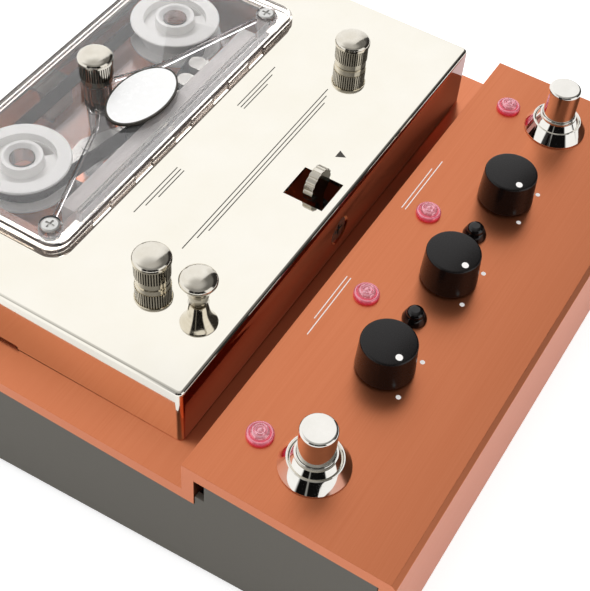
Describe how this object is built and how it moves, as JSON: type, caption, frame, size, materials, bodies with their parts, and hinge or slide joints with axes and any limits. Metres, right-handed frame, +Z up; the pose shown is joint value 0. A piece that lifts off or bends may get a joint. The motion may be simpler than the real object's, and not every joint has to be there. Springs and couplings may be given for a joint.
{
  "type": "tape echo unit",
  "caption": "Leaning copper-fronted effects unit with a polished deck, a clear tape-loop cassette, control knobs, foot switches, push buttons and ring-lens lamps.",
  "frame": {"origin": "under the middle of the unit's bounding box, on the plane its feet stand on", "axes": "+Z up, +X to the player's right along the control strip, +Y to the back where the sockets are"},
  "size_m": [0.1978, 0.2032, 0.0913],
  "materials": {
    "copper": "copper-tinted anodised, brushed along the width",
    "nickel": "polished nickel plate, mirror finish",
    "chrome": "polished chrome",
    "tray_paint": "dark warm grey, satin",
    "steel": "zinc-plated, satin",
    "turned_alloy": "fine turned, bright",
    "black_knob": "black, fine satin",
    "black_plastic": "black, gloss",
    "rubber": "black, matte",
    "board": "green solder mask",
    "lamp_red": "translucent red lens, gloss",
    "clear_plastic": "clear acrylic, polished",
    "white_plastic": "white, satin",
    "brass": "turned brass",
    "tape_oxide": "dark brown magnetic coating",
    "label_paper": "white, satin, dark border"
  },
  "bodies": {
    "chassis": {"base_tray": "tray_paint", "top_cover": "copper", "rubber_feet": "rubber", "tray_screws": "steel", "tray_pillars": "steel", "signal_jacks": "black_plastic", "jack_nuts": "steel", "power_inlet": "black_plastic", "main_board": "board", "control_board": "board", "pot_bodies": "steel", "pot_nuts": "steel", "switch_bodies": "steel", "switch_dress_nuts": "chrome", "switch_back_nuts": "steel", "button_bezels": "black_plastic", "push_switches": "black_plastic", "lamp_lenses": "lamp_red", "lamp_diodes": "lamp_red", "deck_cover": "nickel", "deck_screws": "steel", "ledge_posts": "steel", "release_bushing": "turned_alloy", "lock_axle": "steel", "lock_bracket": "steel", "head_bridge": "turned_alloy", "tape_heads": "steel", "capstan_bearing": "brass", "drive_motor": "steel", "drive_belt": "rubber"},
    "level_control": {"level_knob": "black_knob", "level_shaft": "turned_alloy"},
    "feedback_control": {"feedback_knob": "black_knob", "feedback_shaft": "turned_alloy"},
    "time_control": {"time_knob": "black_knob", "time_shaft": "turned_alloy"},
    "bypass_pedal": {"bypass_plunger": "chrome"},
    "tap_pedal": {"tap_plunger": "chrome"},
    "short_button": {"short_head_button": "black_plastic"},
    "long_button": {"long_head_button": "black_plastic"},
    "left_hand_screw": {"left_thumb_screw": "turned_alloy"},
    "right_hand_screw": {"right_thumb_screw": "turned_alloy"},
    "release_pull": {"release_knob": "turned_alloy", "release_spring": "steel"},
    "lock": {"lock_lever": "turned_alloy"},
    "slide_bar": {"lock_slide": "steel"},
    "capstan": {"capstan_shaft": "steel", "flywheel": "brass"},
    "motor_shaft": {"motor_spindle": "steel", "motor_pulley": "brass"},
    "arm": {"pinch_arm": "steel"},
    "roller": {"pinch_roller": "rubber"},
    "cassette": {"cassette_base": "clear_plastic", "cassette_lid": "clear_plastic", "cassette_screws": "steel", "cassette_label": "label_paper", "tape_loop": "tape_oxide"},
    "left_reel": {"left_spool": "white_plastic"},
    "right_reel": {"right_spool": "white_plastic"},
    "cassette_screw": {"hold_down_screw": "turned_alloy"}
  },
  "joints": [
    {"name": "level_turn", "type": "hinge", "parent": "chassis", "child": "level_control", "pos_m": [-0.04, -0.06598, 0.05427], "axis": [0, -0.0938, 0.9956], "range_deg": [-294, 6]},
    {"name": "feedback_turn", "type": "hinge", "parent": "chassis", "child": "feedback_control", "pos_m": [0, -0.06598, 0.05427], "axis": [0, -0.0938, 0.9956], "range_deg": [-298, 2]},
    {"name": "time_turn", "type": "hinge", "parent": "chassis", "child": "time_control", "pos_m": [0.04, -0.06598, 0.05427], "axis": [0, -0.0938, 0.9956], "range_deg": [-287, 13]},
    {"name": "bypass_press", "type": "slide", "parent": "chassis", "child": "bypass_pedal", "axis": [0, 0.0938, -0.9956], "range_m": [0, 0.0025], "stiffness_N_per_m": 1500},
    {"name": "tap_press", "type": "slide", "parent": "chassis", "child": "tap_pedal", "axis": [0, 0.0938, -0.9956], "range_m": [0, 0.0025], "stiffness_N_per_m": 1500},
    {"name": "short_press", "type": "slide", "parent": "chassis", "child": "short_button", "axis": [0, 0.0938, -0.9956], "range_m": [0, 0.0015], "stiffness_N_per_m": 800},
    {"name": "long_press", "type": "slide", "parent": "chassis", "child": "long_button", "axis": [0, 0.0938, -0.9956], "range_m": [0, 0.0015], "stiffness_N_per_m": 800},
    {"name": "left_screw_turn", "type": "hinge", "parent": "chassis", "child": "left_hand_screw", "pos_m": [-0.0572, 0.00192, 0.06066], "axis": [0, -0.0938, 0.9956], "continuous": true},
    {"name": "right_screw_turn", "type": "hinge", "parent": "chassis", "child": "right_hand_screw", "pos_m": [0.0572, 0.00192, 0.06066], "axis": [0, -0.0938, 0.9956], "continuous": true},
    {"name": "release_pull", "type": "slide", "parent": "chassis", "child": "release_pull", "axis": [0, -0.0938, 0.9956], "range_m": [0, 0.004], "stiffness_N_per_m": 700, "deforming": ["release_spring"]},
    {"name": "lock_swing", "type": "hinge", "parent": "chassis", "child": "lock", "pos_m": [0, -0.0185, 0.05673], "axis": [1, 0, 0], "range_deg": [-20, 0]},
    {"name": "lock_slide_move", "type": "slide", "parent": "chassis", "child": "slide_bar", "axis": [0, 0.9956, 0.0938], "range_m": [-0.00242, 0]},
    {"name": "capstan_spin", "type": "hinge", "parent": "chassis", "child": "capstan", "pos_m": [0, 0.04135, 0.06437], "axis": [0, -0.0938, 0.9956], "continuous": true},
    {"name": "motor_spin", "type": "hinge", "parent": "chassis", "child": "motor_shaft", "pos_m": [0.048, 0.02343, 0.06269], "axis": [0, -0.0938, 0.9956], "continuous": true},
    {"name": "arm_swing", "type": "hinge", "parent": "chassis", "child": "arm", "pos_m": [-0.016, 0.05628, 0.06578], "axis": [0, -0.0938, 0.9956], "range_deg": [0, 10.6]},
    {"name": "roller_spin", "type": "hinge", "parent": "arm", "child": "roller", "pos_m": [0, 0.04892, 0.06509], "axis": [0, -0.0938, 0.9956], "continuous": true},
    {"name": "cassette_lift", "type": "slide", "parent": "chassis", "child": "cassette", "axis": [0, -0.0938, 0.9956], "range_m": [0, 0.03]},
    {"name": "left_reel_spin", "type": "hinge", "parent": "cassette", "child": "left_reel", "pos_m": [-0.041, 0.06216, 0.06633], "axis": [0, -0.0938, 0.9956], "continuous": true},
    {"name": "right_reel_spin", "type": "hinge", "parent": "cassette", "child": "right_reel", "pos_m": [0.041, 0.06216, 0.06633], "axis": [0, -0.0938, 0.9956], "continuous": true},
    {"name": "cassette_screw_turn", "type": "hinge", "parent": "cassette", "child": "cassette_screw", "pos_m": [-0.001, 0.06355, 0.06646], "axis": [0, -0.0938, 0.9956], "continuous": true}
  ],
  "couplings": [
    {"joint": "lock_slide_move", "follows": "lock_swing", "m_per_rad": 0.0069},
    {"joint": "arm_swing", "follows": "lock_swing", "ratio": -0.495},
    {"joint": "motor_spin", "follows": "capstan_spin", "ratio": 4.556},
    {"joint": "roller_spin", "follows": "capstan_spin", "ratio": -0.296},
    {"joint": "left_reel_spin", "follows": "capstan_spin", "ratio": -0.1345},
    {"joint": "right_reel_spin", "follows": "capstan_spin", "ratio": -0.1345}
  ]
}
